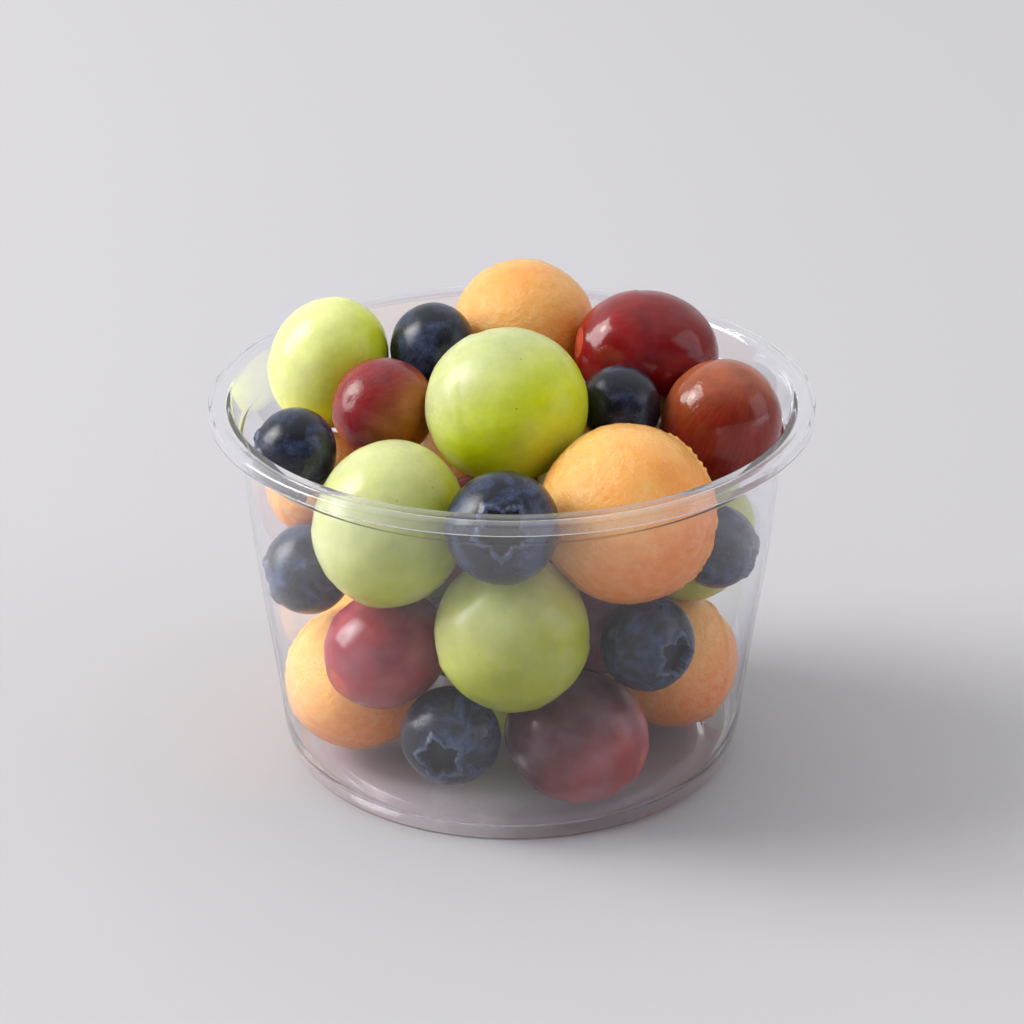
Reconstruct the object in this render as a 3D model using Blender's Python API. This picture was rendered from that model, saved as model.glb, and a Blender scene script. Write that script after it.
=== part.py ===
# Clear plastic cup, filled and heaped with whole grapes, blueberries and balls of orange melon.
# Metres, +Z up. The origin is the middle of the base, on the surface that the cup stands on.
# The side that faces -Y is the front.

import bpy
import numpy as np
from math import cos, pi, radians, sin
from mathutils import Vector

MM = 0.001

# Cup, in millimetres: radii are of the outside unless a name says otherwise
RIM_RADIUS = 52.0
MOUTH_RADIUS = 48.0
CUP_HEIGHT = 66.5
WALL = 0.6
LIP_DROP = 2.3
LIP_ROUNDING = 0.6
RIM_UNDERSIDE = 65.7
RIM_FILLET = 0.4
RIM_STEP = 2.4
RIM_STEP_RISE = 0.25
RIM_STEP_SLOPE = 0.3
MOUTH_BEVEL = 0.5
NECK_HEIGHT = 64.5
STACK_STEP_LOW = 60.2
STACK_STEP_HIGH = 60.9
STACK_STEP_WIDTH = 0.7
WAIST_RADIUS = 46.8
MID_RADIUS = 44.7
MID_HEIGHT = 38.8
HEEL_RADIUS = 40.9
HEEL_HEIGHT = 11.5
FOOT_RADIUS = 36.8
FOOT_WIDTH = 2.2
FOOT_BEVEL = 0.4
FLOOR_HEIGHT = 2.6
FLOOR_RADIUS = 32.8
FLOOR_THICKNESS = 0.8
HEEL_STEPS = 4
CUP_SIDES = 56
SHARP_ANGLE = 40

# Fruit, in millimetres
GAP = 0.3
GRAPE_SIDES = 16
BERRY_SIDES = 15
MELON_SIDES = 16
STEM_SCAR_DEPTH = 0.5
CROWN_POINTS = 5
CROWN_DEPTH = 1.3
CROWN_LIP = 0.35
SCOOP_RIDGE = 0.35
SCOOP_ANGLE = 118

# Shares of a fruit's half width: how much fuller a grape is near its stem, and a blueberry's crown
GRAPE_FULLNESS = 0.03
CROWN_RADIUS = 0.33
CROWN_WAVE = 0.08
PIT_RADIUS = 0.17

# Where a fruit's rings of points lie, in degrees from its marked end
GRAPE_RINGS = (16, 42, 67, 90, 113, 138, 163)
BERRY_RINGS = (30, 50, 72, 94, 118, 144, 166)
MELON_RINGS = (24, 48, 72, 95, 116, 120, 142, 163)

# Kinds of fruit: colour, roughness
GREEN = ("green_grape_skin", (0.50, 0.60, 0.12), 0.30)
RED = ("red_grape_skin", (0.30, 0.03, 0.03), 0.25)
BLUE = ("blueberry_skin", (0.05, 0.07, 0.14), 0.50)
MELON = ("melon_flesh", (0.90, 0.42, 0.10), 0.40)

# Each fruit: name, kind, width across and length along its axis, the place of its middle, and the way
# that its marked end points: a grape's stem scar, a blueberry's crown, the rounder half of a melon ball.
# These show through the front of the cup or above it, so each keeps its place.
FRONT_FRUIT = [
    ("green_grape_top", GREEN, 26.4, 28.0, (-1.7, -6.3, 67.4), (-0.9, 0.3, -0.3)),
    ("green_grape_back_left", GREEN, 20.8, 24.4, (-33.4, 15.6, 64.6), (-0.35, 0.1, -0.9)),
    ("green_grape_front_left", GREEN, 25.4, 28.4, (-20.5, -25.0, 53.6), (0.25, 0.1, 0.95)),
    ("green_grape_front", GREEN, 26.0, 26.6, (0.9, -29.6, 35.5), (0.1, -0.3, -0.9)),
    ("green_grape_right", GREEN, 22.2, 24.0, (31.2, 3.2, 37.2), (0.1, 0.2, 1.0)),
    ("red_grape_left", RED, 17.4, 18.2, (-23.3, 3.8, 64.6), (-0.6, -0.7, 0.4)),
    ("red_grape_back_right", RED, 21.4, 25.6, (23.2, 16.6, 67.4), (-0.95, -0.15, 0.2)),
    ("red_grape_right", RED, 20.8, 22.6, (35.9, 0.0, 61.8), (0.32, -0.3, 0.9)),
    ("red_grape_front_left", RED, 19.8, 22.0, (-20.6, -24.3, 30.8), (-0.75, -0.55, -0.3)),
    ("red_grape_low", RED, 23.0, 25.0, (10.2, -26.2, 14.4), (0.9, -0.3, -0.2)),
    ("blueberry_front", BLUE, 18.8, 17.4, (-1.6, -36.6, 59.0), (0.05, -0.8, 0.5)),
    ("blueberry_back_left", BLUE, 16.0, 14.8, (-16.8, 16.6, 68.0), (0.8, 0.4, -0.3)),
    ("blueberry_back_right", BLUE, 14.0, 13.0, (19.6, -0.4, 64.9), (-0.3, 0.6, -0.6)),
    ("blueberry_rim_left", BLUE, 15.0, 14.0, (-36.6, -14.2, 62.4), (-0.95, -0.1, 0.0)),
    ("blueberry_wall_left", BLUE, 16.0, 14.8, (-35.8, -7.2, 38.8), (-0.95, -0.2, -0.2)),
    ("blueberry_wall_right", BLUE, 14.2, 13.4, (34.6, -12.6, 44.2), (0.9, -0.35, -0.2)),
    ("blueberry_front_right", BLUE, 16.6, 15.4, (23.0, -26.4, 32.9), (0.85, -0.5, -0.25)),
    ("blueberry_low", BLUE, 17.2, 16.0, (-10.6, -30.2, 17.1), (-0.2, -0.85, -0.5)),
    ("melon_ball_back", MELON, 25.8, 25.8, (1.6, 28.6, 65.6), (0.1, -0.6, 0.6)),
    ("melon_ball_front_right", MELON, 30.2, 28.4, (19.2, -24.6, 54.2), (-0.9, -0.35, 0.1)),
    ("melon_ball_low_left", MELON, 25.2, 25.2, (-27.2, -4.4, 15.6), (0.3, -0.8, 0.1)),
    ("melon_ball_low_right", MELON, 24.0, 24.0, (28.4, 2.8, 14.9), (-0.85, -0.4, 0.2)),
    ("melon_ball_left", MELON, 19.0, 19.0, (-33.8, 5.8, 47.6), (-0.4, -0.8, 0.3)),
    ("red_grape_under_top", RED, 18.4, 19.6, (-6.3, -9.5, 45.4), (0.2, 0.3, 1.0)),
]
# These show from behind or between the others, and carry them, so each gives way to its neighbours.
OTHER_FRUIT = [
    ("red_grape_inside_right", RED, 21.0, 22.6, (15.5, -8.0, 33.0), (0.9, 0.3, 0.2)),
    ("blueberry_inside_left", BLUE, 15.0, 14.0, (-10.5, -10.5, 29.0), (0.5, 0.7, 0.4)),
    ("green_grape_inside_right", GREEN, 17.4, 18.6, (18.6, 5.0, 49.0), (0.2, 0.9, 0.1)),
    ("green_grape_inside_left", GREEN, 19.0, 20.6, (-18.6, 5.0, 35.0), (0.7, 0.2, 0.6)),
    ("green_grape_floor_middle", GREEN, 20.6, 22.4, (-0.5, -1.0, 13.2), (0.9, 0.4, 0.1)),
    ("green_grape_floor_right", GREEN, 22.6, 24.6, (20.0, 21.5, 14.4), (-0.5, 0.6, 0.3)),
    ("red_grape_floor_back", RED, 20.4, 22.0, (-0.8, 28.6, 13.2), (0.2, 0.9, 0.3)),
    ("melon_ball_floor_left", MELON, 24.4, 24.4, (-21.6, 19.8, 15.2), (-0.6, 0.7, 0.2)),
    ("green_grape_back", GREEN, 23.4, 25.2, (-9.8, 29.2, 34.2), (0.2, 0.3, 0.95)),
    ("melon_ball_back_right", MELON, 23.4, 23.4, (14.0, 27.6, 34.0), (0.2, 0.9, 0.3)),
    ("blueberry_wall_back_right", BLUE, 15.6, 14.2, (31.0, 20.0, 30.0), (0.8, 0.55, -0.1)),
    ("red_grape_middle", RED, 18.4, 19.6, (1.0, 5.0, 32.0), (0.1, 0.5, 0.8)),
    ("red_grape_wall_back_left", RED, 16.8, 19.0, (-25.0, 24.6, 41.0), (-0.3, 0.2, 1.0)),
    ("blueberry_wall_back", BLUE, 15.0, 13.8, (0.0, 37.2, 48.0), (-0.1, 0.95, 0.2)),
    ("melon_ball_middle", MELON, 21.8, 21.8, (-5.0, 12.0, 49.2), (0.3, 0.2, 0.9)),
    ("blueberry_rim_back_right", BLUE, 14.4, 13.2, (20.0, 33.0, 52.0), (0.45, 0.85, 0.1)),
    ("green_grape_wall_back_right", GREEN, 17.6, 19.6, (29.6, 21.0, 46.4), (0.75, 0.6, 0.1)),
    ("blueberry_rim_back_left", BLUE, 15.8, 14.4, (-17.0, 33.4, 51.6), (-0.4, 0.8, 0.4)),
]

# How the fruit settles
SETTLE_ROUNDS = 600
FRONT_GIVE = 0.08
OTHER_GIVE = 1.0
RETURN_SHARE = 0.04
SINK_STEP = 0.04
FRONT_SINK = 0.016
SINK_ROUNDS = 200


def clear_scene():
    for thing in list(bpy.data.objects):
        bpy.data.objects.remove(thing)


def plain_material(name, colour, roughness, clear=0.0):
    material = bpy.data.materials.new(name)
    material.use_nodes = True
    shader = material.node_tree.nodes["Principled BSDF"]
    shader.inputs["Base Color"].default_value = (*colour, 1.0)
    shader.inputs["Roughness"].default_value = roughness
    shader.inputs["Metallic"].default_value = 0.0
    shader.inputs["Transmission Weight"].default_value = clear
    return material


def new_object(name, points, faces, material):
    """A smooth-shaded mesh object from points in millimetres."""
    mesh = bpy.data.meshes.new(name)
    mesh.from_pydata([tuple(float(value) * MM for value in point) for point in points], [], faces)
    mesh.shade_smooth()
    mesh.set_sharp_from_angle(angle=radians(SHARP_ANGLE))
    mesh.materials.append(material)
    thing = bpy.data.objects.new(name, mesh)
    bpy.context.scene.collection.objects.link(thing)
    return thing


def lip_arc(centre_radius, centre_height):
    """The lip's rounded edge, from its outermost point up and inwards."""
    angles = [0.0, pi / 4, pi / 2]
    return [(centre_radius + LIP_ROUNDING * cos(a), centre_height + LIP_ROUNDING * sin(a)) for a in angles]


def heel_curve(radius_in, drop_in):
    """The rounded corner between the floor and the wall, drawn in from the outside by radius_in and
    raised from the foot by drop_in. It is a quarter of an ellipse."""
    low_radius = FOOT_RADIUS - radius_in
    wide = HEEL_RADIUS - radius_in - low_radius
    tall = HEEL_HEIGHT - drop_in
    angles = [radians(90.0 * i / HEEL_STEPS) for i in range(HEEL_STEPS + 1)]
    return [(low_radius + wide * sin(a), HEEL_HEIGHT - tall * cos(a)) for a in angles]


def outer_profile():
    """Half section of the outside, from the middle of the underside up to the edge of the lip."""
    underside = FLOOR_HEIGHT - FLOOR_THICKNESS
    foot_inner = FOOT_RADIUS - FOOT_WIDTH
    neck_radius = MOUTH_RADIUS + WALL
    lip_inner = RIM_RADIUS - WALL
    points = [(FLOOR_RADIUS, underside), (foot_inner - FOOT_BEVEL, FOOT_BEVEL), (foot_inner, 0.0)]
    points += heel_curve(0.0, 0.0)
    points += [
        (MID_RADIUS, MID_HEIGHT),
        (WAIST_RADIUS, STACK_STEP_LOW),
        (WAIST_RADIUS + STACK_STEP_WIDTH, STACK_STEP_HIGH),
        (neck_radius - RIM_FILLET / 2, NECK_HEIGHT),
        (neck_radius + RIM_FILLET, RIM_UNDERSIDE),
        (lip_inner - RIM_FILLET / 2, RIM_UNDERSIDE),
        (lip_inner, CUP_HEIGHT - LIP_DROP),
        (RIM_RADIUS, CUP_HEIGHT - LIP_DROP),
    ]
    return points


def inner_profile():
    """Half section of the top of the rim and the inside, from the lip down to the middle of the floor."""
    step_radius = MOUTH_RADIUS + RIM_STEP
    points = lip_arc(RIM_RADIUS - LIP_ROUNDING, CUP_HEIGHT - RIM_STEP_RISE - LIP_ROUNDING)
    points += [
        (step_radius, CUP_HEIGHT - RIM_STEP_RISE),
        (step_radius - RIM_STEP_SLOPE, CUP_HEIGHT),
        (MOUTH_RADIUS + MOUTH_BEVEL / 2, CUP_HEIGHT),
        (MOUTH_RADIUS - MOUTH_BEVEL / 2, CUP_HEIGHT - MOUTH_BEVEL),
        (WAIST_RADIUS + STACK_STEP_WIDTH - WALL, STACK_STEP_HIGH),
        (WAIST_RADIUS - WALL, STACK_STEP_LOW),
        (MID_RADIUS - WALL, MID_HEIGHT),
    ]
    points += heel_curve(WALL, FLOOR_HEIGHT)[::-1]
    points += [(FLOOR_RADIUS, FLOOR_HEIGHT)]
    return points


def turned(profile, sides):
    """Points and faces of a profile turned about Z, closed by a middle point at each end."""
    points = []
    faces = []
    for radius, height in profile:
        for side in range(sides):
            angle = 2 * pi * side / sides
            points.append((radius * cos(angle), radius * sin(angle), height))
    for ring in range(len(profile) - 1):
        for side in range(sides):
            after = (side + 1) % sides
            low, high = ring * sides, (ring + 1) * sides
            faces.append((low + side, low + after, high + after, high + side))
    first = len(points)
    points.append((0.0, 0.0, profile[0][1]))
    points.append((0.0, 0.0, profile[-1][1]))
    last_ring = (len(profile) - 1) * sides
    for side in range(sides):
        after = (side + 1) % sides
        faces.append((first, after, side))
        faces.append((first + 1, last_ring + side, last_ring + after))
    return points, faces


def make_cup():
    """The cup: one thin wall with a heel on a foot ring, a stacking step and a turned-down rim."""
    material = plain_material("clear_plastic", (0.90, 0.90, 0.93), 0.08, clear=0.9)
    points, faces = turned(outer_profile() + inner_profile(), CUP_SIDES)
    return new_object("cup", points, faces, material)


def rings_to_solid(rings, top, bottom, sides):
    """A closed solid from rings of points listed from the top down, with a middle point at each end."""
    points = [top] + [point for ring in rings for point in ring] + [bottom]
    faces = []
    for side in range(sides):
        after = (side + 1) % sides
        faces.append((0, 1 + side, 1 + after))
        last_ring = 1 + (len(rings) - 1) * sides
        faces.append((len(points) - 1, last_ring + after, last_ring + side))
        for ring in range(len(rings) - 1):
            upper, lower = 1 + ring * sides, 1 + (ring + 1) * sides
            faces.append((upper + side, lower + side, lower + after, upper + after))
    return points, faces


def circle(radius, height, sides):
    angles = [2 * pi * side / sides for side in range(sides)]
    return [(radius * cos(a), radius * sin(a), height) for a in angles]


def grape(width, length):
    """An oval, a little fuller towards the stem end, with the shallow scar of its stem at +Z."""
    half_width, half_length = width / 2, length / 2
    rings = []
    for degrees in GRAPE_RINGS:
        polar = radians(degrees)
        fullness = 1.0 + GRAPE_FULLNESS * cos(polar) * sin(polar)
        rings.append(circle(half_width * fullness * sin(polar), half_length * cos(polar), GRAPE_SIDES))
    top = (0.0, 0.0, half_length * cos(radians(GRAPE_RINGS[0])) - STEM_SCAR_DEPTH)
    return rings_to_solid(rings, top, (0.0, 0.0, -half_length), GRAPE_SIDES)


def blueberry(width, length):
    """A flattened ball with its five-pointed crown at +Z: a pit inside a raised, star-shaped lip."""
    half_width, half_length = width / 2, length / 2

    def height_at(radius):
        return half_length * (1 - (radius / half_width) ** 2) ** 0.5

    pit = height_at(0.0) - CROWN_DEPTH
    lip = []
    for side in range(BERRY_SIDES):
        angle = 2 * pi * side / BERRY_SIDES
        radius = half_width * (CROWN_RADIUS + CROWN_WAVE * cos(CROWN_POINTS * angle))
        lip.append((radius * cos(angle), radius * sin(angle), height_at(radius) + CROWN_LIP))
    rings = [circle(PIT_RADIUS * half_width, pit, BERRY_SIDES), lip]
    for degrees in BERRY_RINGS:
        polar = radians(degrees)
        rings.append(circle(half_width * sin(polar), half_length * cos(polar), BERRY_SIDES))
    return rings_to_solid(rings, (0.0, 0.0, pit), (0.0, 0.0, -half_length), BERRY_SIDES)


def melon_ball(width, length):
    """A ball from a melon scoop: the scoop's edge leaves a low ridge round it, nearer to one end."""
    rings = []
    for degrees in MELON_RINGS:
        polar = radians(degrees)
        half = width / 2 if degrees < SCOOP_ANGLE else width / 2 - SCOOP_RIDGE
        rings.append(circle(half * sin(polar), half * cos(polar) * length / width, MELON_SIDES))
    return rings_to_solid(rings, (0.0, 0.0, length / 2), (0.0, 0.0, SCOOP_RIDGE - length / 2), MELON_SIDES)


SHAPES = {GREEN: grape, RED: grape, BLUE: blueberry, MELON: melon_ball}


def aimed(points, direction):
    """The points turned so that +Z looks along direction."""
    turn = Vector((0.0, 0.0, 1.0)).rotation_difference(Vector(direction).normalized()).to_matrix()
    return np.array(points) @ np.array(turn).T


def inner_radius(height):
    """Radius of the inside of the cup at a height, or at an array of heights."""
    inside = [section for section in inner_profile() if section[0] < MOUTH_RADIUS + MOUTH_BEVEL]
    inside.sort(key=lambda section: section[1])
    return np.interp(height, [s[1] for s in inside], [s[0] for s in inside])


def wall_push(points):
    """How far, and which way, a fruit's points must move to clear the floor and the wall."""
    push = np.zeros(3)
    push[2] = max(0.0, FLOOR_HEIGHT + GAP - points[:, 2].min())
    spread = np.hypot(points[:, 0], points[:, 1])
    inside = points[:, 2] < CUP_HEIGHT + GAP
    over = np.where(inside, spread - (inner_radius(points[:, 2]) - GAP), -1.0)
    worst = int(over.argmax())
    if over[worst] > 0:
        push[:2] -= points[worst, :2] / spread[worst] * over[worst]
    return push


def settle(shapes, places, give):
    """Lets the fruit sink and push each other apart until no two are closer than the gap. For most of
    that time the fruit of the front is drawn back to its own places.

    Two fruits are clear of each other when the sum of their reaches along the line between their
    middles, and the gap, is no more than the distance between those middles."""
    places = np.array(places, dtype=float)
    own_places = places.copy()
    give = np.array(give)
    keeps_place = (give == FRONT_GIVE)[:, None]
    count = len(shapes)
    for turn in range(SETTLE_ROUNDS):
        if turn < SINK_ROUNDS:
            back = RETURN_SHARE * (own_places - places) + (0.0, 0.0, -FRONT_SINK)
            places += np.where(keeps_place, back, (0.0, 0.0, -SINK_STEP))
        between = places[None, :, :] - places[:, None, :]
        distance = np.linalg.norm(between, axis=2) + np.eye(count)
        direction = between / distance[:, :, None]
        reach = np.array([(shapes[i] @ direction[i].T).max(axis=0) for i in range(count)])
        overlap = reach + reach.T + GAP - distance
        np.fill_diagonal(overlap, 0.0)
        overlap = np.clip(overlap, 0.0, None)
        share = give[:, None] / (give[:, None] + give[None, :])
        places -= (direction * (overlap * share)[:, :, None]).sum(axis=1) * 0.5
        for i in range(count):
            places[i] += wall_push(shapes[i] + places[i])
    return places


def make_fruit():
    """Every fruit as its own object, settled in the cup."""
    rows = FRONT_FRUIT + OTHER_FRUIT
    solids = [SHAPES[kind](width, length) for _, kind, width, length, _, _ in rows]
    shapes = [aimed(solid[0], row[5]) for solid, row in zip(solids, rows)]
    give = [FRONT_GIVE] * len(FRONT_FRUIT) + [OTHER_GIVE] * len(OTHER_FRUIT)
    places = settle(shapes, [row[4] for row in rows], give)
    for row, solid, shape, place in zip(rows, solids, shapes, places):
        name, (skin, colour, roughness) = row[0], row[1]
        material = plain_material(f"{skin}_{name}", colour, roughness)
        thing = new_object(name, shape, solid[1], material)
        thing.location = Vector([float(value) for value in place]) * MM


clear_scene()
make_cup()
make_fruit()
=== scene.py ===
from math import atan2, cos, pi, radians, sin

import bmesh
import bpy
import numpy as np
from mathutils import Matrix, Vector


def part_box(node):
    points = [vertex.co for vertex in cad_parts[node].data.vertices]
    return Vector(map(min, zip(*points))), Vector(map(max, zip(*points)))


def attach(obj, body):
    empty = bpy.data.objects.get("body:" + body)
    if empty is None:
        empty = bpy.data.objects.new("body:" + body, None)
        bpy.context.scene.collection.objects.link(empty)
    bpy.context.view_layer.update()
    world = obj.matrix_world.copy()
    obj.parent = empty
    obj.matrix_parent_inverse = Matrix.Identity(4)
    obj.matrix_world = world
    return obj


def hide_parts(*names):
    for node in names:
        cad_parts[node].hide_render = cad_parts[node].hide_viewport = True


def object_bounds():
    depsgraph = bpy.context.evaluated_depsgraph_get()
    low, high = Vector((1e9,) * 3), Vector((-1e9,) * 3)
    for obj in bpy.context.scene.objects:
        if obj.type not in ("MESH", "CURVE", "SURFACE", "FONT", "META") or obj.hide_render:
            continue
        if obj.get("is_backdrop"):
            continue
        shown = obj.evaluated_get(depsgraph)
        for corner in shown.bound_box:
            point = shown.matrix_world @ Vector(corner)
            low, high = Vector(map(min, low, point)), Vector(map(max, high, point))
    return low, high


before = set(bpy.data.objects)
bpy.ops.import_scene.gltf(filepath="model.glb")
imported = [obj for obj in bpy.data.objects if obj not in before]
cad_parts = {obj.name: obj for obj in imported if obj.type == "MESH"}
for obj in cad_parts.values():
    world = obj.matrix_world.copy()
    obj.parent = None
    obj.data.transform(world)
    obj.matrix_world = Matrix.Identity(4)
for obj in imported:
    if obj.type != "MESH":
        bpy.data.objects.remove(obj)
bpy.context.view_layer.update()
bpy.context.scene.view_settings.view_transform = "Standard"

# Camera
# A long lens about 0.65 m away looks down at the cup by 26 degrees, and aims a little above the cup's
# middle, so that the cup stands a little low in the picture.
MM = 0.001
LENS = 130.5
DISTANCE = 650 * MM
LOOK_DOWN = radians(26.1)
AIM_ABOVE = radians(0.87)
CUP_MIDDLE = Vector((0, 0, 33.25 * MM))

bpy.ops.object.camera_add(
    location=CUP_MIDDLE + DISTANCE * Vector((0, -cos(LOOK_DOWN), sin(LOOK_DOWN))),
    rotation=(pi / 2 - LOOK_DOWN + AIM_ABOVE, 0, 0),
)
camera = bpy.context.object
camera.data.lens = LENS
camera.data.clip_start = 0.01
bpy.context.scene.camera = camera

# Floor and studio
# A wide sheet of pale grey matt paper. A tall softbox stands on the left, a large dim violet card on the
# right, and the room is bright above and behind the cup. On the camera's side it is dark in reflections
# and gives an even fill to matt surfaces.
FLOOR_SIZE = 14.0
BRIGHT_SIDE = (0.0, 0.75, 0.66)
ROOM_DARK, ROOM_BRIGHT = 0.03, 0.85
FRONT_FILL = 0.55
BACKDROP = 0.62


def hex_colour(code):
    """The linear red, green, blue and alpha of an sRGB hex colour."""
    parts = [int(code[i : i + 2], 16) / 255 for i in (0, 2, 4)]
    return (*[c / 12.92 if c <= 0.04045 else ((c + 0.055) / 1.055) ** 2.4 for c in parts], 1.0)


def add_node(tree, kind, inputs=None, **settings):
    """Adds a node with its settings. Each input is given a value, or the output to link to it."""
    new = tree.nodes.new("ShaderNode" + kind)
    for name, value in settings.items():
        setattr(new, name, value)
    for name, value in (inputs or {}).items():
        if isinstance(value, bpy.types.NodeSocket):
            tree.links.new(value, new.inputs[name])
        else:
            new.inputs[name].default_value = value
    return new


def start_material(name):
    """A new material: its node tree, and its Principled shader, joined to the output."""
    material = bpy.data.materials.new(name)
    material.use_nodes = True
    return material, material.node_tree, material.node_tree.nodes["Principled BSDF"]


bpy.ops.object.select_all(action="DESELECT")
bpy.ops.mesh.primitive_plane_add(size=FLOOR_SIZE)
floor = bpy.context.object
floor.name = "floor"
paper, tree, shader = start_material("matt_grey_paper")
shader.inputs["Base Color"].default_value = hex_colour("C0BFC3")
shader.inputs["Roughness"].default_value = 0.9
shader.inputs["Specular IOR Level"].default_value = 0.1
floor.data.materials.append(paper)
floor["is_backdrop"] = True

world = bpy.data.worlds.new("studio")
bpy.context.scene.world = world
world.use_nodes = True
tree = world.node_tree
way = add_node(tree, "TexCoord").outputs["Generated"]
to_back = add_node(tree, "VectorMath", {0: way, 1: BRIGHT_SIDE}, operation="DOT_PRODUCT")
rays = add_node(tree, "LightPath").outputs
front = add_node(tree, "Mix", {0: rays["Is Glossy Ray"], 2: FRONT_FILL, 3: ROOM_DARK}, data_type="FLOAT")
room = add_node(
    tree, "MapRange", {0: to_back.outputs["Value"], 1: -0.15, 2: 0.75, 3: front.outputs[0], 4: ROOM_BRIGHT}
)
seen = add_node(tree, "Math", {0: rays["Is Camera Ray"], 1: rays["Is Transmission Ray"]}, operation="MAXIMUM")
strength = add_node(tree, "Mix", {0: seen.outputs[0], 2: room.outputs[0], 3: BACKDROP}, data_type="FLOAT")
tree.links.new(strength.outputs[0], tree.nodes["Background"].inputs["Strength"])
tree.nodes["Background"].inputs["Color"].default_value = (0.985, 0.985, 1.0, 1.0)

# Lights: name, direction towards it, distance, width, height, power, colour
for name, direction, distance, wide, high, power, colour in [
    ("softbox", (-0.87, 0.10, 0.50), 1.9, 1.1, 1.5, 38.0, (1.0, 0.99, 0.97)),
    ("softbox_core", (-0.87, 0.10, 0.62), 1.85, 0.35, 0.35, 4.0, (1.0, 0.99, 0.97)),
    ("fill_card", (0.95, -0.15, 0.28), 1.6, 0.9, 1.3, 4.2, (0.93, 0.91, 1.0)),
]:
    place = CUP_MIDDLE + Vector(direction).normalized() * distance
    bpy.ops.object.light_add(type="AREA", location=place)
    lamp = bpy.context.object
    lamp.name = name
    lamp.rotation_euler = (CUP_MIDDLE - place).to_track_quat("-Z", "Y").to_euler()
    lamp.data.shape = "RECTANGLE"
    lamp.data.size, lamp.data.size_y = wide, high
    lamp.data.energy = power
    lamp.data.color = colour

# Cup
# One clear thin-walled cup, moulded in PET: a raised floor on a foot ring, a rounded heel, a tapered
# wall with a stacking step near its top, and a flat rim with a turned-down lip. It is a turned section.
CUP_STEPS = 160
HEEL_STEPS = 10
BEND_STEPS = 3
WALL = 0.6
FOOT_RADIUS, HEEL_RADIUS, HEEL_HEIGHT = 36.8, 40.9, 11.5
FLOOR_TOP = 2.6


def heel(inset, low):
    """The heel's curve from the foot up to the wall, as rows of radius, height and bend."""
    angles = [radians(90 * i / HEEL_STEPS) for i in range(1, HEEL_STEPS + 1)]
    wide, high = HEEL_RADIUS - FOOT_RADIUS, HEEL_HEIGHT - low
    return [(FOOT_RADIUS - inset + wide * sin(a), HEEL_HEIGHT - high * cos(a), 0.0) for a in angles]


# Each corner: radius and height in millimetres, and how far back from it the bend starts
SECTION = [
    (0.0, 1.8, 0.0), (32.8, 1.8, 0.7), (34.6, 0.0, 0.6), (FOOT_RADIUS, 0.0, 0.5),
    *heel(0.0, 0.0),
    (44.7, 38.8, 4.0), (46.8, 60.2, 0.3), (47.5, 60.9, 0.3), (48.4, 64.5, 0.8), (49.0, 65.7, 0.3),
    (51.2, 65.7, 0.3), (51.4, 64.2, 0.1), (52.0, 64.2, 0.2), (52.0, 66.25, 0.6),
    (50.4, 66.25, 0.1), (50.1, 66.5, 0.2), (48.0, 66.5, 0.5), (46.9, 60.9, 0.3), (46.2, 60.2, 0.3),
    (44.1, 38.8, 4.0),
    *heel(WALL, FLOOR_TOP)[::-1],
    (FOOT_RADIUS - WALL, FLOOR_TOP, 0.6), (32.8, FLOOR_TOP, 0.0), (0.0, FLOOR_TOP, 0.0),
]


def bent(corners):
    """The section's points, with each corner rounded."""
    points = []
    for i, (radius, height, bend) in enumerate(corners):
        here = Vector((radius, 0, height))
        if not bend:
            points.append(here)
            continue
        before, after = (Vector((corners[j][0], 0, corners[j][1])) for j in (i - 1, i + 1))
        start = here + (before - here).normalized() * bend
        end = here + (after - here).normalized() * bend
        for step in range(BEND_STEPS + 1):
            t = step / BEND_STEPS
            points.append(start * (1 - t) ** 2 + here * 2 * t * (1 - t) + end * t**2)
    return [point * MM for point in points]


bpy.ops.object.select_all(action="DESELECT")
bpy.ops.mesh.primitive_plane_add(size=MM)
cup = bpy.context.object
cup.name = "clear_cup"
bpy.ops.object.mode_set(mode="EDIT")
bpy.ops.mesh.merge(type="CENTER")
spot = Vector((0, 0, 0))
for number, point in enumerate(bent(SECTION)):
    if number == 0:
        bpy.ops.transform.translate(value=point - spot)
    else:
        bpy.ops.mesh.extrude_region_move(TRANSFORM_OT_translate={"value": point - spot})
    spot = point
bpy.ops.mesh.select_all(action="SELECT")
bpy.ops.mesh.spin(steps=CUP_STEPS, angle=2 * pi, center=(0, 0, 0), axis=(0, 0, 1))
bpy.ops.mesh.select_all(action="SELECT")
bpy.ops.mesh.remove_doubles(threshold=0.01 * MM)
bpy.ops.mesh.normals_make_consistent(inside=False)
bpy.ops.object.mode_set(mode="OBJECT")
bpy.ops.object.shade_smooth_by_angle(angle=radians(50))

# The foot is thicker and stained by juice, and it is painted browner and darker than the wall: partly
# that stain, partly painted shade of the fruit above it. The wall between the foot and the rim is
# wetted by juice inside, so it shines less than they do.
WALL_TONE, FOOT_STAIN_AND_SHADE = "FAFAFD", "E2DADB"
FOOT_TONE_LOW, FOOT_TONE_HIGH = 2.7 * MM, 5.0 * MM
WALL_SHINE, WALL_LOW, WALL_HIGH, SHINE_BLEND = 0.25, 10 * MM, 59 * MM, 2 * MM
heights = np.array([point.co.z for point in cup.data.vertices])
# Painted shade and juice stain: below 5 mm the colour turns from the wall's to the darker foot's.
stain_and_shade = 1 - np.clip((heights - FOOT_TONE_LOW) / (FOOT_TONE_HIGH - FOOT_TONE_LOW), 0, 1)[:, None]
tones = np.array(hex_colour(WALL_TONE)) * (1 - stain_and_shade) + np.array(hex_colour(FOOT_STAIN_AND_SHADE)) * stain_and_shade
layer = cup.data.attributes.new("tone", "FLOAT_COLOR", "POINT")
layer.data.foreach_set("color", tones.astype(np.float32).ravel())
on_wall = np.clip(np.minimum(heights - WALL_LOW, WALL_HIGH - heights) / SHINE_BLEND, 0, 1)
layer = cup.data.attributes.new("shine", "FLOAT", "POINT")
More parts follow.
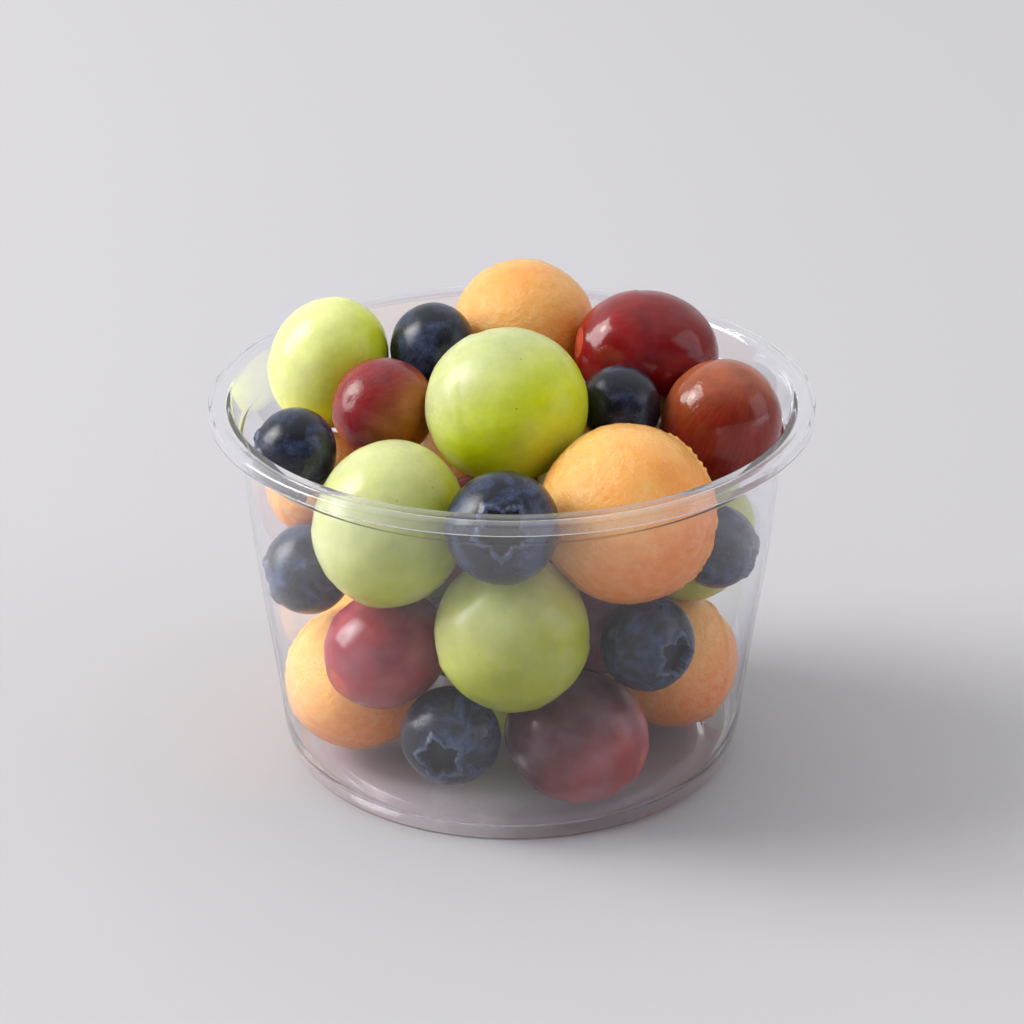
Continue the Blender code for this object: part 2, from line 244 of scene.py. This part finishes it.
layer.data.foreach_set("value", (1 + (WALL_SHINE - 1) * on_wall).astype(np.float32))

# Moulded PET: clear and smooth, with the faint milky haze of juice and cold on it. So thin a sheet shines
# like any PET, IOR 1.57 in its coat, but hardly bends what is seen through it, so the body's IOR is low.
# It lets light through to the fruit, so lamps cast no solid shadow of it.
pet, tree, shader = start_material("clear_pet")
tone = add_node(tree, "Attribute", attribute_name="tone").outputs["Color"]
tree.links.new(tone, shader.inputs["Base Color"])
shader.inputs["Roughness"].default_value = 0.03
shader.inputs["IOR"].default_value = 1.12
shader.inputs["Transmission Weight"].default_value = 0.99
shine = add_node(tree, "Attribute", attribute_name="shine").outputs["Fac"]
tree.links.new(shine, shader.inputs["Coat Weight"])
shader.inputs["Coat Roughness"].default_value = 0.04
shader.inputs["Coat IOR"].default_value = 1.57
lamp_rays = add_node(tree, "LightPath")
passed = add_node(tree, "BsdfTransparent", {"Color": hex_colour("F8F8FA")})
lamp_share = lamp_rays.outputs["Is Shadow Ray"]
cup_mix = add_node(tree, "MixShader", {0: lamp_share, 1: shader.outputs[0], 2: passed.outputs[0]})
tree.links.new(cup_mix.outputs[0], tree.nodes["Material Output"].inputs["Surface"])
cup.data.materials.append(pet)
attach(cup, "root")
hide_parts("cup")

# Green grapes
# Whole seedless grapes with a thin, satin, see-through skin: yellow-green, minty where the bloom is
# left, with faint lengthwise veins and small brown specks. Each is painted paler on its lit side and a
# deeper lime on its shaded side: painted light and painted shade. One is shaped, and the rest are copies of
# it.
LUMP_SIZE = 9 * MM
LUMP_HEIGHT = 0.5 * MM


def start_ball(segments, rings):
    """A ball of radius 1, in edit mode with nothing selected."""
    bpy.ops.object.select_all(action="DESELECT")
    bpy.ops.mesh.primitive_uv_sphere_add(segments=segments, ring_count=rings, radius=1)
    bpy.ops.object.mode_set(mode="EDIT")
    bpy.ops.mesh.select_all(action="DESELECT")
    return bpy.context.object


def pick(test):
    """Selects the points in edit mode whose places pass a test."""
    shape = bmesh.from_edit_mesh(bpy.context.object.data)
    for point in shape.verts:
        point.select_set(test(point.co))
    shape.select_flush(True)
    bmesh.update_edit_mesh(bpy.context.object.data)


def cap(degrees, way=1):
    """A test for the points within some degrees of an end of the ball."""
    return lambda place: place.z * way > cos(radians(degrees)) * place.length


lumps = bpy.data.textures.new("fruit_lumps", type="CLOUDS")
lumps.noise_scale = LUMP_SIZE


def place_fruit(master, name, width, length, direction, main, second, side, bloom, rough, marks, seed):
    """Copies a fruit to the place of the CAD node of its name: its sizes in millimetres, the way that
    its marked end points, its main and second colours, the side where the second one shows and how far
    it reaches, how much bloom it keeps, how rough its skin is, and the shares of its marks: streaks,
    wrinkles and specks. The side is a world direction; on the green grapes and melon balls the main
    colour is painted light and the second one painted shade."""
    low, high = (Vector(corner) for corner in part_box(name))
    turn = Vector((0, 0, 1)).rotation_difference(Vector(direction).normalized()).to_matrix().to_4x4()
    size = Matrix.Diagonal((width / 2 * MM, width / 2 * MM, length / 2 * MM, 1))
    fruit = master.copy()
    fruit.data = master.data.copy()
    fruit.name = "fruit_" + name
    bpy.context.scene.collection.objects.link(fruit)
    points = len(fruit.data.vertices)
    local = np.empty(points * 3)
    fruit.data.vertices.foreach_get("co", local)
    local = local.reshape(-1, 3)
    fruit.data.transform(Matrix.Translation((low + high) / 2) @ turn @ Matrix.Rotation(seed, 4, "Z") @ size)

    world_way = local @ np.array((turn @ Matrix.Rotation(seed, 4, "Z")).to_3x3()).T
    # The second colour is blended in towards the given side: painted shade on the green grapes and melon
    # balls.
    towards = world_way @ np.array(Vector(side[:3]).normalized())
    share = np.clip(0.5 + 1.1 * (towards + side[3]), 0, 1)[:, None]
    share = share * share * (3 - 2 * share)
    colour = np.array(hex_colour(main)) * (1 - share) + np.array(hex_colour(second)) * share
    around = np.arctan2(local[:, 1], local[:, 0])
    end = np.arccos(np.clip(local[:, 2] / np.linalg.norm(local, axis=1), -1, 1)) / pi
    streak = np.stack([np.cos(around), np.sin(around), end * 0.5 + seed * 7.3], axis=1)
    finish = np.stack([end, np.full(points, bloom), np.full(points, rough)], axis=1)
    for label, kind, values in [
        ("tint", "FLOAT_COLOR", colour),
        ("skin", "FLOAT_VECTOR", local + seed * 5.1),
        ("streak", "FLOAT_VECTOR", streak),
        ("finish", "FLOAT_VECTOR", finish),
        ("marks", "FLOAT_VECTOR", np.tile(marks, (points, 1))),
    ]:
        layer = fruit.data.attributes.new(label, kind, "POINT")
        field = "color" if kind == "FLOAT_COLOR" else "vector"
        layer.data.foreach_set(field, values.astype(np.float32).ravel())

    bpy.ops.object.select_all(action="DESELECT")
    fruit.select_set(True)
    bpy.context.view_layer.objects.active = fruit
    bpy.ops.object.modifier_add(type="DISPLACE")
    bend = fruit.modifiers[-1]
    bend.texture, bend.strength, bend.mid_level = lumps, LUMP_HEIGHT, 0.5
    bpy.ops.object.modifier_apply(modifier=bend.name)
    bpy.ops.object.shade_smooth()
    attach(fruit, "root")
    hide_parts(name)
    return fruit


grape_master = start_ball(64, 44)
pick(lambda place: 0.25 < place.z < 0.8)
bpy.ops.transform.resize(value=(1.02, 1.02, 1), center_override=(0, 0, 0))
pick(cap(18))
bpy.ops.transform.translate(value=(0, 0, 0.012))
pick(cap(14))
bpy.ops.transform.translate(value=(0, 0, -0.035))
pick(cap(5))
bpy.ops.transform.translate(value=(0, 0, 0.015))
pick(cap(5, way=-1))
bpy.ops.transform.translate(value=(0, 0, 0.012))
bpy.ops.object.mode_set(mode="OBJECT")


def skin_inputs(tree):
    """The nodes that read a fruit's own layers: tint, skin and streak, the three shares of its finish,
    and the three shares of its marks."""
    tint = add_node(tree, "Attribute", attribute_name="tint").outputs["Color"]
    skin = add_node(tree, "Attribute", attribute_name="skin").outputs["Vector"]
    streak = add_node(tree, "Attribute", attribute_name="streak").outputs["Vector"]
    finish = add_node(tree, "Attribute", attribute_name="finish").outputs["Vector"]
    marks = add_node(tree, "Attribute", attribute_name="marks").outputs["Vector"]
    finish_shares = add_node(tree, "SeparateXYZ", {0: finish}).outputs
    mark_shares = add_node(tree, "SeparateXYZ", {0: marks}).outputs
    return tint, skin, streak, *finish_shares, *mark_shares


# Grape skin, waxed by its own bloom: satin, IOR 1.42, and light goes a few millimetres into the flesh.
green_skin, tree, shader = start_material("green_grape_skin")
tint, skin, streak, end, bloom, rough, streaks, wrinkled, specks = skin_inputs(tree)
veins = add_node(tree, "TexNoise", {"Vector": streak, "Scale": 7.0, "Detail": 3.0, "Roughness": 0.6})
vein_share = add_node(tree, "MapRange", {0: veins.outputs[0], 1: 0.45, 2: 0.75, 3: 0.0})
tree.links.new(streaks, vein_share.inputs[4])
veined = add_node(tree, "Mix", {0: vein_share.outputs[0], 6: tint, 7: hex_colour("E2E6BE")}, data_type="RGBA")
mottle = add_node(tree, "TexNoise", {"Vector": skin, "Scale": 3.2, "Detail": 5.0, "Roughness": 0.65})
mottle_share = add_node(tree, "MapRange", {0: mottle.outputs[0], 1: 0.3, 2: 0.7, 3: 0.9, 4: 1.1})
mottled = add_node(
    tree, "VectorMath", {0: veined.outputs[2], "Scale": mottle_share.outputs[0]}, operation="SCALE"
)
cloud = add_node(tree, "TexNoise", {"Vector": skin, "Scale": 1.3, "Detail": 4.0, "Roughness": 0.55})
cloud_share = add_node(tree, "MapRange", {0: cloud.outputs[0], 1: 0.42, 2: 0.68, 3: 0.0, 4: 1.0})
bloom_share = add_node(tree, "Math", {0: cloud_share.outputs[0], 1: bloom}, operation="MULTIPLY")
bloomed = add_node(
    tree, "Mix", {0: bloom_share.outputs[0], 6: mottled.outputs[0], 7: hex_colour("D8DDB8")}, data_type="RGBA"
)
cells = add_node(tree, "TexVoronoi", {"Vector": skin, "Scale": 5.0})
speck = add_node(tree, "MapRange", {0: cells.outputs["Distance"], 1: 0.04, 2: 0.07, 4: 0.0})
tree.links.new(specks, speck.inputs[3])
lot = add_node(tree, "SeparateColor", {0: cells.outputs["Color"]}).outputs[0]
some = add_node(tree, "MapRange", {0: lot, 1: 0.72, 2: 0.74})
speck_share = add_node(tree, "Math", {0: speck.outputs[0], 1: some.outputs[0]}, operation="MULTIPLY")
specked = add_node(
    tree, "Mix", {0: speck_share.outputs[0], 6: bloomed.outputs[2], 7: hex_colour("6E6A2A")}, data_type="RGBA"
)
scar = add_node(tree, "MapRange", {0: end, 1: 0.07, 2: 0.095, 3: 0.8, 4: 0.0})
scarred = add_node(
    tree, "Mix", {0: scar.outputs[0], 6: specked.outputs[2], 7: hex_colour("A89A4C")}, data_type="RGBA"
)
tree.links.new(scarred.outputs[2], shader.inputs["Base Color"])
wrinkles = add_node(
    tree, "TexNoise", {"Vector": skin, "Scale": 16.0, "Detail": 2.0, "Roughness": 0.5, "Distortion": 1.0}
)
relief = add_node(tree, "Bump", {"Height": wrinkles.outputs[0], "Strength": wrinkled, "Distance": 0.5 * MM})
tree.links.new(relief.outputs[0], shader.inputs["Normal"])
roughness = add_node(tree, "MapRange", {0: bloom_share.outputs[0], 1: 0.0, 2: 1.0, 4: 0.5})
tree.links.new(rough, roughness.inputs[3])
tree.links.new(roughness.outputs[0], shader.inputs["Roughness"])
shader.inputs["IOR"].default_value = 1.42
shader.inputs["Subsurface Weight"].default_value = 0.9
shader.inputs["Subsurface Radius"].default_value = (1.0, 0.9, 0.15)
shader.inputs["Subsurface Scale"].default_value = 7.0 * MM

# Each one: name, width, length, where the stem scar points, colours, the second colour's side,
# bloom, roughness, marks
# The first colour of each is painted light, paler on the side the softbox lights; the second is painted
# shade, a deeper lime on the side away from it.
PALE_PAINTED_LIGHT, LIME_PAINTED_SHADE = "C3CB7C", "BCC810"
GREEN_GRAPES = [
    ("green_grape_top", 26.4, 28.0, (-0.9, 0.3, -0.3), "C0C78A", "CAD60A", (0.6, -0.3, -0.74, 0.25),
     0.15, 0.24, (0.06, 0.12, 0.7)),
    ("green_grape_back_left", 20.8, 24.4, (-0.35, 0.1, -0.9), "DCE29A", "CCD828", (0.8, 0, -0.6, 0.2),
     0.2, 0.14, (0.05, 0.03, 0.3)),
    ("green_grape_front_left", 25.4, 28.4, (-0.25, -0.1, -0.95), "C6CC8C", "B2BA2C", (0.75, 0, -0.65, 0.15),
     0.25, 0.2, (0.06, 0.06, 0.7)),
    ("green_grape_front", 26.0, 26.6, (0.1, -0.3, -0.9), "BAC06E", "A6AE14", (0.5, 0, -0.86, 0.2),
     0.25, 0.2, (0.06, 0.06, 0.8)),
    ("green_grape_right", 22.2, 24.0, (0.1, 0.2, 1.0), "C0C67C", "AEB51A", (0.5, 0, -0.8, 0.1),
     0.3, 0.24, (0.08, 0.06, 0.5)),
    ("green_grape_inside_right", 17.4, 18.6, (0.2, 0.9, 0.1), PALE_PAINTED_LIGHT, LIME_PAINTED_SHADE, (0, 0, -1, 0),
     0.3, 0.24, (0.08, 0.06, 0.5)),
    ("green_grape_inside_left", 19.0, 20.6, (0.7, 0.2, 0.6), PALE_PAINTED_LIGHT, LIME_PAINTED_SHADE, (0, 0, -1, 0),
     0.3, 0.24, (0.08, 0.06, 0.5)),
    ("green_grape_floor_middle", 20.6, 22.4, (0.9, 0.4, 0.1), PALE_PAINTED_LIGHT, LIME_PAINTED_SHADE, (0, 0, -1, 0),
     0.3, 0.24, (0.08, 0.06, 0.5)),
    ("green_grape_floor_right", 22.6, 24.6, (-0.5, 0.6, 0.3), PALE_PAINTED_LIGHT, LIME_PAINTED_SHADE, (0, 1, -1, 0),
     0.3, 0.24, (0.08, 0.06, 0.6)),
    ("green_grape_back", 23.4, 25.2, (0.2, 0.3, 0.95), PALE_PAINTED_LIGHT, LIME_PAINTED_SHADE, (0.5, 0.4, -0.8, 0.1),
     0.3, 0.2, (0.08, 0.06, 0.6)),
    ("green_grape_wall_back_right", 17.6, 19.6, (0.75, 0.6, 0.1), PALE_PAINTED_LIGHT, LIME_PAINTED_SHADE, (0.5, 1, 0, 0),
     0.3, 0.2, (0.08, 0.06, 0.6)),
]
for number, row in enumerate(GREEN_GRAPES):
    fruit = place_fruit(grape_master, *row, seed=0.7 + number)
    fruit.data.materials.append(green_skin)

# Red grapes
# The same shape with a darker skin: crimson to purple, amber where the sun missed it, with pale
# lengthwise streaks that meet at the blossom end and a thin violet bloom.
red_skin, tree, shader = start_material("red_grape_skin")
tint, skin, streak, end, bloom, rough, streaks, wrinkled, specks = skin_inputs(tree)
veins = add_node(tree, "TexNoise", {"Vector": streak, "Scale": 15.0, "Detail": 4.0, "Roughness": 0.6})
vein_share = add_node(tree, "MapRange", {0: veins.outputs[0], 1: 0.42, 2: 0.72, 3: 0.0})
tree.links.new(streaks, vein_share.inputs[4])
veined = add_node(tree, "Mix", {0: vein_share.outputs[0], 6: tint, 7: hex_colour("CE8C6C")}, data_type="RGBA")
mottle = add_node(tree, "TexNoise", {"Vector": skin, "Scale": 2.6, "Detail": 5.0, "Roughness": 0.6})
mottle_share = add_node(tree, "MapRange", {0: mottle.outputs[0], 1: 0.3, 2: 0.7, 3: 0.75, 4: 1.2})
mottled = add_node(
    tree, "VectorMath", {0: veined.outputs[2], "Scale": mottle_share.outputs[0]}, operation="SCALE"
)
cloud = add_node(tree, "TexNoise", {"Vector": skin, "Scale": 1.5, "Detail": 6.0, "Roughness": 0.6})
cloud_share = add_node(tree, "MapRange", {0: cloud.outputs[0], 1: 0.4, 2: 0.7, 3: 0.0, 4: 1.0})
bloom_share = add_node(tree, "Math", {0: cloud_share.outputs[0], 1: bloom}, operation="MULTIPLY")
bloomed = add_node(
    tree, "Mix", {0: bloom_share.outputs[0], 6: mottled.outputs[0], 7: hex_colour("A08896")}, data_type="RGBA"
)
cells = add_node(tree, "TexVoronoi", {"Vector": skin, "Scale": 6.0})
speck = add_node(tree, "MapRange", {0: cells.outputs["Distance"], 1: 0.05, 2: 0.08, 4: 0.0})
tree.links.new(specks, speck.inputs[3])
lot = add_node(tree, "SeparateColor", {0: cells.outputs["Color"]}).outputs[0]
some = add_node(tree, "MapRange", {0: lot, 1: 0.7, 2: 0.72})
speck_share = add_node(tree, "Math", {0: speck.outputs[0], 1: some.outputs[0]}, operation="MULTIPLY")
specked = add_node(
    tree, "Mix", {0: speck_share.outputs[0], 6: bloomed.outputs[2], 7: hex_colour("2E1014")}, data_type="RGBA"
)
scar = add_node(tree, "MapRange", {0: end, 1: 0.075, 2: 0.085, 3: 0.95, 4: 0.0})
scarred = add_node(
    tree, "Mix", {0: scar.outputs[0], 6: specked.outputs[2], 7: hex_colour("B4503A")}, data_type="RGBA"
)
tree.links.new(scarred.outputs[2], shader.inputs["Base Color"])
wrinkles = add_node(
    tree, "TexNoise", {"Vector": skin, "Scale": 11.0, "Detail": 1.0, "Roughness": 0.5, "Distortion": 1.0}
)
relief = add_node(tree, "Bump", {"Height": wrinkles.outputs[0], "Strength": wrinkled, "Distance": 0.5 * MM})
tree.links.new(relief.outputs[0], shader.inputs["Normal"])
roughness = add_node(tree, "MapRange", {0: bloom_share.outputs[0], 1: 0.0, 2: 1.0, 4: 0.45})
tree.links.new(rough, roughness.inputs[3])
tree.links.new(roughness.outputs[0], shader.inputs["Roughness"])
shader.inputs["IOR"].default_value = 1.45
shader.inputs["Subsurface Weight"].default_value = 0.6
shader.inputs["Subsurface Radius"].default_value = (1.0, 0.2, 0.1)
shader.inputs["Subsurface Scale"].default_value = 4.0 * MM

RED_GRAPES = [
    ("red_grape_left", 17.4, 18.2, (0.6, 0.7, -0.4), "84101A", "AC6416", (0.85, -0.4, -0.4, -0.35),
     0.12, 0.24, (0.1, 0.14, 1)),
    ("red_grape_back_right", 21.4, 25.6, (-0.95, -0.15, 0.2), "7C040A", "820C0E", (-1, 0, 0, 0),
     0.1, 0.13, (0.03, 0.04, 0.4)),
    ("red_grape_right", 20.8, 22.6, (-0.32, 0.3, -0.9), "A0532F", "842010", (0.2, -0.6, -0.75, 0.1),
     0.05, 0.12, (0.08, 0.12, 1)),
    ("red_grape_front_left", 19.8, 22.0, (-0.75, -0.55, -0.3), "8C2830", "A03E38", (0, 0, -1, 0),
     0.25, 0.18, (0.08, 0.03, 0.5)),
    ("red_grape_low", 23.0, 25.0, (0.9, -0.3, -0.2), "4A0E16", "92200E", (0.7, -0.4, -0.6, -0.3),
     0.3, 0.15, (0.05, 0.03, 0.7)),
    ("red_grape_under_top", 18.4, 19.6, (0.2, 0.3, 1.0), "7E1A26", "8E3A3A", (0, 0, -1, 0),
     0.2, 0.2, (0.15, 0.1, 0.6)),
    ("red_grape_inside_right", 21.0, 22.6, (0.9, 0.3, 0.2), "6A1C2C", "8E3A3A", (0, 0, -1, 0),
     0.2, 0.2, (0.15, 0.1, 0.6)),
    ("red_grape_floor_back", 20.4, 22.0, (0.2, 0.9, 0.3), "6A1C2C", "8E3A3A", (0, 1, -1, 0),
     0.25, 0.16, (0.2, 0.1, 0.6)),
    ("red_grape_middle", 18.4, 19.6, (0.1, 0.5, 0.8), "6A1C2C", "8E3A3A", (0, 0, -1, 0),
     0.2, 0.2, (0.15, 0.1, 0.6)),
    ("red_grape_wall_back_left", 16.8, 19.0, (-0.3, 0.2, 1.0), "7E1A26", "A4502E", (-0.5, 1, -0.4, 0),
     0.25, 0.16, (0.2, 0.1, 0.6)),
]
for number, row in enumerate(RED_GRAPES):
    fruit = place_fruit(grape_master, *row, seed=0.4 + number)
    fruit.data.materials.append(red_skin)
bpy.data.objects.remove(grape_master)

# Blueberries
# Flattened balls with a five-pointed crown: a star-shaped pit, painted near-black and bare of bloom as
# painted shade in its hollow, with a raised ragged lip. The skin is navy under a slate-blue waxy bloom
# that is rubbed off in patches and fine scratches.
CROWN_POINTS = 5
CROWN_VALLEY, CROWN_TIP = 17, 28


def star(place):
    """How far out a place is from the crown's middle, where 1 is the edge of its five-pointed pit."""
    turn = abs(atan2(place.y, place.x) * CROWN_POINTS / (2 * pi) % 1 - 0.5) * 2
    edge = radians(CROWN_VALLEY + (CROWN_TIP - CROWN_VALLEY) * turn)
    return place.angle(Vector((0, 0, 1))) / edge


berry_master = start_ball(80, 64)
pick(lambda place: star(place) < 1)
bpy.ops.mesh.extrude_region_move(TRANSFORM_OT_translate={"value": (0, 0, -0.2)})
bpy.ops.transform.resize(value=(0.93, 0.93, 0.3))
pick(lambda place: 0.8 < star(place) < 1.35 and place.length > 0.95)
bpy.ops.mesh.vertices_smooth(factor=0.5, repeat=1)
pick(lambda place: 0.8 < star(place) < 1.22 and place.length > 0.95)
bpy.ops.transform.translate(value=(0, 0, 0.045))
bpy.ops.transform.resize(value=(1.03, 1.03, 1), center_override=(0, 0, 1))
bpy.ops.transform.vertex_random(offset=0.02, uniform=0.6, seed=4)
bpy.ops.object.mode_set(mode="OBJECT")
places = np.array([point.co for point in berry_master.data.vertices])
reach = np.linalg.norm(places, axis=1)
# Painted shade: the sunken points of the pit are marked to take the pit's near-black colour.
pit_shade_share = np.clip((0.96 - reach) / 0.05, 0, 1)
lip_share = np.clip((reach - 1.01) / 0.03, 0, 1)
layer = berry_master.data.attributes.new("crown", "FLOAT_VECTOR", "POINT")
crown_shares = np.stack([pit_shade_share, lip_share, 0 * reach], axis=1)
layer.data.foreach_set("vector", crown_shares.astype(np.float32).ravel())

# Berry wax on skin: satin, with a fine grain, IOR 1.45.
berry_skin, tree, shader = start_material("blueberry_skin")
tint, skin, streak, end, bloom, rough, streaks, wrinkled, specks = skin_inputs(tree)
cloud = add_node(
    tree, "TexNoise", {"Vector": skin, "Scale": 1.6, "Detail": 7.0, "Roughness": 0.62, "Distortion": 0.5}
)
cloud_share = add_node(tree, "MapRange", {0: cloud.outputs[0], 1: 0.46, 2: 0.68, 3: 0.05, 4: 1.0})
scratch = add_node(
    tree, "TexNoise", {"Vector": skin, "Scale": 9.0, "Detail": 5.0, "Roughness": 0.7, "Distortion": 2.0}
)
scratch_share = add_node(tree, "MapRange", {0: scratch.outputs[0], 1: 0.35, 2: 0.6, 3: 0.3, 4: 1.0})
wax = add_node(tree, "Math", {0: cloud_share.outputs[0], 1: scratch_share.outputs[0]}, operation="MULTIPLY")
wax_share = add_node(tree, "Math", {0: wax.outputs[0], 1: bloom}, operation="MULTIPLY")
waxed = add_node(tree, "Mix", {0: wax_share.outputs[0], 6: tint, 7: hex_colour("56658F")}, data_type="RGBA")
crown = add_node(tree, "Attribute", attribute_name="crown").outputs["Vector"]
pit, lip = add_node(tree, "SeparateXYZ", {0: crown}).outputs[:2]
lipped = add_node(tree, "Mix", {0: lip, 6: waxed.outputs[2], 7: hex_colour("4C5670")}, data_type="RGBA")
# The pit is painted near-black over the bloom: painted shade in the hollow.
pit_shaded = add_node(tree, "Mix", {0: pit, 6: lipped.outputs[2], 7: hex_colour("0C0C10")}, data_type="RGBA")
tree.links.new(pit_shaded.outputs[2], shader.inputs["Base Color"])
pores = add_node(tree, "TexNoise", {"Vector": skin, "Scale": 30.0, "Detail": 2.0, "Roughness": 0.6})
grain = add_node(tree, "Bump", {"Height": pores.outputs[0], "Strength": 0.07, "Distance": 0.25 * MM})
tree.links.new(grain.outputs[0], shader.inputs["Normal"])
tree.links.new(rough, shader.inputs["Roughness"])
shader.inputs["IOR"].default_value = 1.45

# Each one: name, width, length, where the crown points, bloom
BLUEBERRIES = [
    ("blueberry_front", 18.8, 17.4, (0.0, -0.93, 0.36), 0.75),
    ("blueberry_back_left", 16.0, 14.8, (0.8, 0.4, -0.3), 0.6),
    ("blueberry_back_right", 14.0, 13.0, (-0.3, 0.6, -0.6), 0.6),
    ("blueberry_rim_left", 15.0, 14.0, (-0.95, -0.1, 0.0), 0.6),
    ("blueberry_wall_left", 16.0, 14.8, (-0.95, -0.2, -0.2), 0.9),
    ("blueberry_wall_right", 14.2, 13.4, (0.9, -0.35, -0.2), 0.9),
    ("blueberry_front_right", 16.6, 15.4, (0.65, -0.76, 0.03), 0.9),
    ("blueberry_low", 17.2, 16.0, (-0.23, -0.97, -0.08), 0.9),
    ("blueberry_inside_left", 15.0, 14.0, (0.5, 0.7, 0.4), 0.75),
    ("blueberry_wall_back_right", 15.6, 14.2, (0.8, 0.55, -0.1), 0.9),
    ("blueberry_wall_back", 15.0, 13.8, (-0.1, 0.95, 0.2), 0.9),
    ("blueberry_rim_back_right", 14.4, 13.2, (0.45, 0.85, 0.1), 0.75),
    ("blueberry_rim_back_left", 15.8, 14.4, (-0.4, 0.8, 0.4), 0.75),
]
for number, (*row, wax_kept) in enumerate(BLUEBERRIES):
    fruit = place_fruit(
        berry_master, *row, "0B0D14", "11141F", (0, 0, 1, 0), wax_kept, 0.27, (0, 0, 0), seed=0.9 + number
    )
    fruit.data.materials.append(berry_skin)
bpy.data.objects.remove(berry_master)

# Melon balls
# Balls of ripe orange melon cut with a scoop, whose edge leaves a low ragged ridge round each. The cut
# flesh is wet and finely grained, and each ball is painted paler on its lit side and a deeper orange on
# its shaded lower right: painted light and painted shade.
GRAIN_SIZE = 1.1 * MM
GRAIN_HEIGHT = 0.3 * MM
RIDGE_ANGLE, RIDGE_WIDTH = 62, 3
melon_master = start_ball(140, 100)
pick(cap(RIDGE_ANGLE, way=-1))
bpy.ops.transform.resize(value=(0.975, 0.975, 0.975), center_override=(0, 0, 0))
bpy.ops.mesh.select_all(action="DESELECT")
pick(lambda place: cap(RIDGE_ANGLE + RIDGE_WIDTH, way=-1)(place) and not cap(RIDGE_ANGLE, way=-1)(place))
bpy.ops.transform.resize(value=(1.022, 1.022, 1.022), center_override=(0, 0, 0))
bpy.ops.transform.vertex_random(offset=0.018, uniform=0.5, seed=2)
bpy.ops.object.mode_set(mode="OBJECT")

# Wet fruit flesh: grain about 0.5 mm across that sparkles, IOR 1.38, and light goes well into it.
melon_flesh, tree, shader = start_material("melon_flesh")
tint, skin, streak, end, bloom, rough, streaks, wrinkled, specks = skin_inputs(tree)
fibres = add_node(tree, "TexNoise", {"Vector": skin, "Scale": 8.0, "Detail": 6.0, "Roughness": 0.7})
fibre_share = add_node(tree, "MapRange", {0: fibres.outputs[0], 1: 0.4, 2: 0.7, 3: 0.0, 4: 0.4})
fibred = add_node(
    tree, "Mix", {0: fibre_share.outputs[0], 6: tint, 7: hex_colour("FFD09A")}, data_type="RGBA"
)
depth = add_node(tree, "TexNoise", {"Vector": skin, "Scale": 1.6, "Detail": 2.0, "Roughness": 0.5})
depth_share = add_node(tree, "MapRange", {0: depth.outputs[0], 1: 0.45, 2: 0.7, 3: 0.0, 4: 0.5})
deepened = add_node(
    tree, "Mix", {0: depth_share.outputs[0], 6: fibred.outputs[2], 7: hex_colour("F08A1E")}, data_type="RGBA"
)
tree.links.new(deepened.outputs[2], shader.inputs["Base Color"])
grain = add_node(tree, "TexNoise", {"Vector": skin, "Scale": 20.0, "Detail": 3.0, "Roughness": 0.7})
relief = add_node(tree, "Bump", {"Height": grain.outputs[0], "Strength": 0.9, "Distance": 0.4 * MM})
tree.links.new(relief.outputs[0], shader.inputs["Normal"])
tree.links.new(rough, shader.inputs["Roughness"])
shader.inputs["IOR"].default_value = 1.38
shader.inputs["Subsurface Weight"].default_value = 0.7
shader.inputs["Subsurface Radius"].default_value = (1.0, 0.5, 0.15)
shader.inputs["Subsurface Scale"].default_value = 5.0 * MM

grain_texture = bpy.data.textures.new("melon_grain", type="CLOUDS")
grain_texture.noise_scale = GRAIN_SIZE
MELON_BALLS = [
    ("melon_ball_back", 25.8, 25.8, (0.1, -0.6, 0.6)),
    ("melon_ball_front_right", 30.2, 28.4, (-0.7, -0.75, 0.3)),
    ("melon_ball_low_left", 25.2, 25.2, (0.3, -0.8, 0.1)),
    ("melon_ball_low_right", 24.0, 24.0, (-0.85, -0.4, 0.2)),
    ("melon_ball_left", 19.0, 19.0, (-0.4, -0.8, 0.3)),
    ("melon_ball_floor_left", 24.4, 24.4, (-0.6, 0.7, 0.2)),
    ("melon_ball_back_right", 23.4, 23.4, (0.2, 0.9, 0.3)),
    ("melon_ball_middle", 21.8, 21.8, (0.3, 0.2, 0.9)),
]
# F4B764 is painted light, on the side towards the softbox; F0860E is painted shade, on the lower right away
# from it.
for number, row in enumerate(MELON_BALLS):
    fruit = place_fruit(
        melon_master, *row, "F4B764", "F0860E", (0.5, 0, -0.85, 0), 0.0, 0.1, (0, 0, 0), seed=0.2 + number
    )
    bpy.ops.object.modifier_add(type="DISPLACE")
    bend = fruit.modifiers[-1]
    bend.texture, bend.strength, bend.mid_level = grain_texture, GRAIN_HEIGHT, 0.5
    bpy.ops.object.modifier_apply(modifier=bend.name)
    fruit.data.materials.append(melon_flesh)
bpy.data.objects.remove(melon_master)

# Sizes
# The shown model's box, lowest and highest corners, in metres.
low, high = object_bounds()
